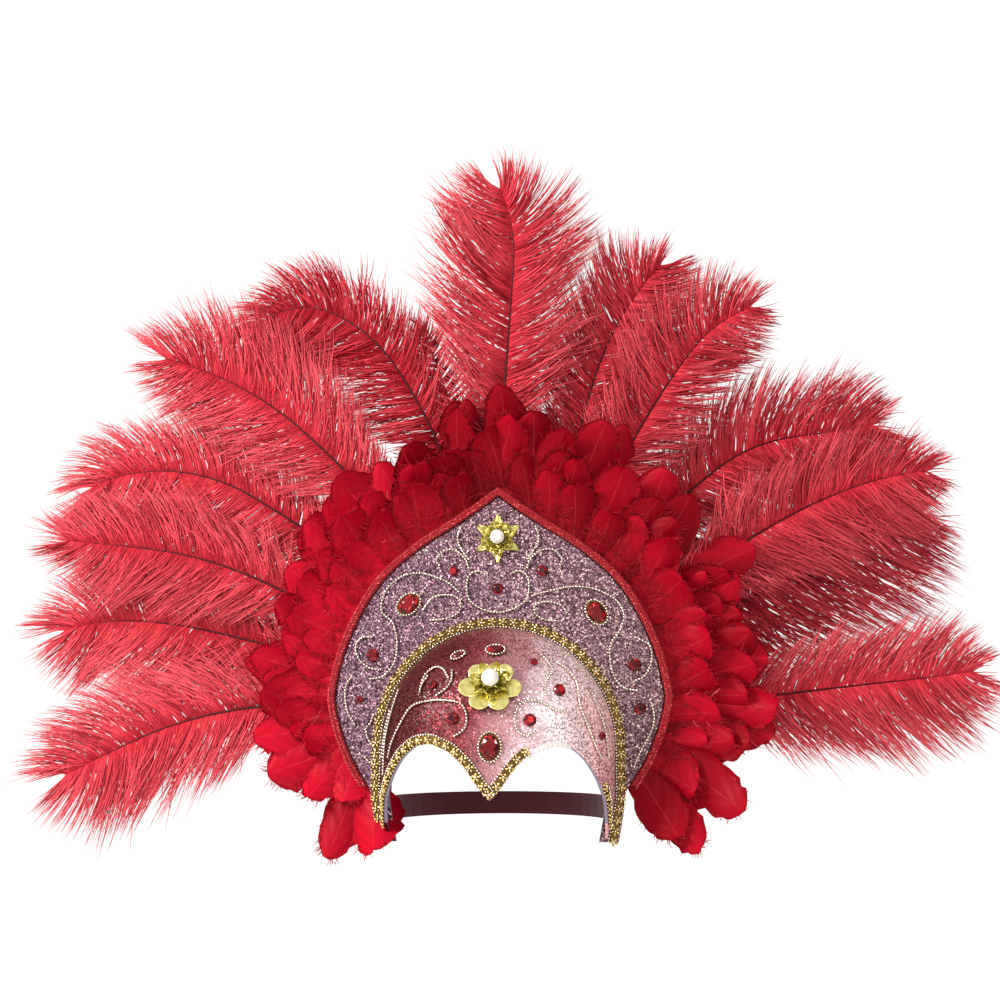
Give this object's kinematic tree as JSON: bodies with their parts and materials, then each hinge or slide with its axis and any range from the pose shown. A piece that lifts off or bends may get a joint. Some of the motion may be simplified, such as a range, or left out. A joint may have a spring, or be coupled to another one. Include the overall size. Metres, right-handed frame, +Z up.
{
  "type": "carnival feather headdress",
  "caption": "Carnival headdress: domed glitter forehead piece, spade-shaped jewelled crown panel, and a fan of broad curled feathers and ostrich plumes behind it.",
  "frame": {"origin": "the head's upright axis, level with the lowest point of the brow edge: the mount head_seat", "axes": "+Z up, +X along the fan's width, the headdress faces -Y"},
  "size_m": [0.7792, 0.2046, 0.5435],
  "materials": {
    "panel_glitter": "silver and lilac glitter cloth",
    "rose_glitter": "rose glitter cloth",
    "red_braid": "red corded braid",
    "gold": "polished gold-coloured metal",
    "chain_metal": "pale gold-silver bead chain",
    "ruby": "clear red cut acrylic stone, foil backed",
    "pearl": "pearlised bead",
    "elastic": "dark woven elastic",
    "plume": "dyed ostrich feather",
    "broad_feather": "dyed goose feather"
  },
  "bodies": {
    "root": {"crown_panel": "panel_glitter", "forehead_shell": "rose_glitter", "outer_braid": "red_braid", "arch_trim": "gold", "brow_trim": "gold", "head_strap": "elastic", "top_flower": "gold", "top_pearl": "pearl", "brow_flower": "gold", "brow_pearl": "pearl", "stone_01": "ruby", "stone_02": "ruby", "stone_03": "ruby", "stone_04": "ruby", "stone_05": "ruby", "stone_06": "ruby", "stone_07": "ruby", "stone_08": "ruby", "stone_09": "ruby", "stone_10": "ruby", "stone_11": "ruby", "stone_12": "ruby", "stone_13": "ruby", "stone_14": "ruby", "stone_15": "ruby", "stone_16": "ruby", "stone_17": "ruby", "stone_18": "ruby", "heart_chain": "chain_metal", "curl_chain_left": "chain_metal", "curl_chain_right": "chain_metal", "paisley_chain_left": "chain_metal", "paisley_chain_right": "chain_metal", "leaf_chain_left": "chain_metal", "leaf_chain_right": "chain_metal", "front_scroll_left": "chain_metal", "front_paisley_left": "chain_metal", "front_scroll_right": "chain_metal", "front_curl_right": "chain_metal", "plume_left_1": "plume", "plume_left_2": "plume", "plume_left_3": "plume", "plume_left_4": "plume", "plume_left_5": "plume", "plume_left_6": "plume", "plume_top": "plume", "plume_right_1": "plume", "plume_right_2": "plume", "plume_right_3": "plume", "plume_right_4": "plume", "plume_right_5": "plume", "plume_right_6": "plume", "crest_tuft": "plume", "feather_ring_1": "broad_feather", "feather_ring_2": "broad_feather", "feather_ring_3": "broad_feather", "feather_ring_4": "broad_feather", "feather_ring_5": "broad_feather", "feather_ring_6": "broad_feather"}
  },
  "joints": []
}
